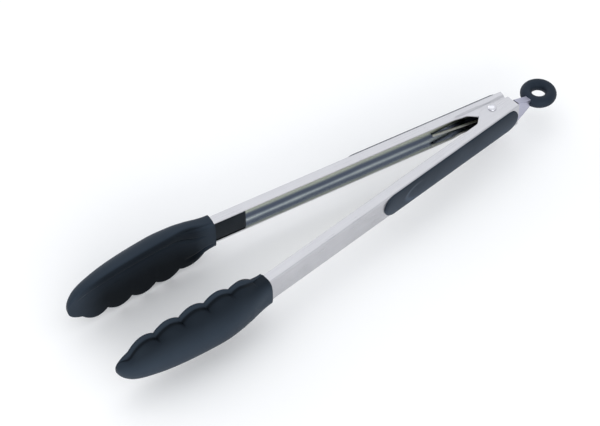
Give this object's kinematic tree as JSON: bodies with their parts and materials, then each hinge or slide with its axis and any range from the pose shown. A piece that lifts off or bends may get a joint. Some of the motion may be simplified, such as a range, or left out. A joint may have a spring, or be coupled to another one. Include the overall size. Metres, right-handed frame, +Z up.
{
  "type": "kitchen tongs",
  "caption": "Spring loaded kitchen tongs with channel arms, soft grips, scalloped spoon shaped gripping heads and a pull tab that ends in a hanging ring.",
  "frame": {"origin": "under the middle of the object's box, on the level of its lowest point, with the tongs lying on their side and open", "axes": "+X from the heads to the hanging ring, +Z up along the rivet, near arm towards -Y"},
  "size_m": [0.3144, 0.0762, 0.0383],
  "materials": {
    "arm_steel": "brushed along the arm",
    "rivet_steel": "bright",
    "spring_wire": "drawn wire",
    "tab_steel": "brushed",
    "grip_rubber": "matt",
    "head_silicone": "satin silicone",
    "ring_silicone": "matt silicone",
    "core_nylon": "matt moulded"
  },
  "bodies": {
    "near_side": {"near_arm": "arm_steel", "near_grip": "grip_rubber", "near_head_core": "core_nylon", "near_head_skin": "head_silicone", "hinge_rivet": "rivet_steel", "hinge_spacer": "rivet_steel", "torsion_spring": "spring_wire"},
    "far_side": {"far_arm": "arm_steel", "far_grip": "grip_rubber", "far_head_core": "core_nylon", "far_head_skin": "head_silicone"},
    "tab": {"pull_tab": "tab_steel", "hanging_ring": "ring_silicone"}
  },
  "joints": [
    {"name": "arm_hinge", "type": "hinge", "parent": "near_side", "child": "far_side", "pos_m": [0.11193, 0, 0.01916], "axis": [0, 0, 1], "range_deg": [0, 9.7], "stiffness_Nm_per_rad": 0.12, "springref_deg": -91.67, "deforming": ["torsion_spring"]},
    {"name": "tab_slide", "type": "slide", "parent": "near_side", "child": "tab", "axis": [0.9957, 0.0931, 0], "range_m": [0, 0.005]}
  ]
}
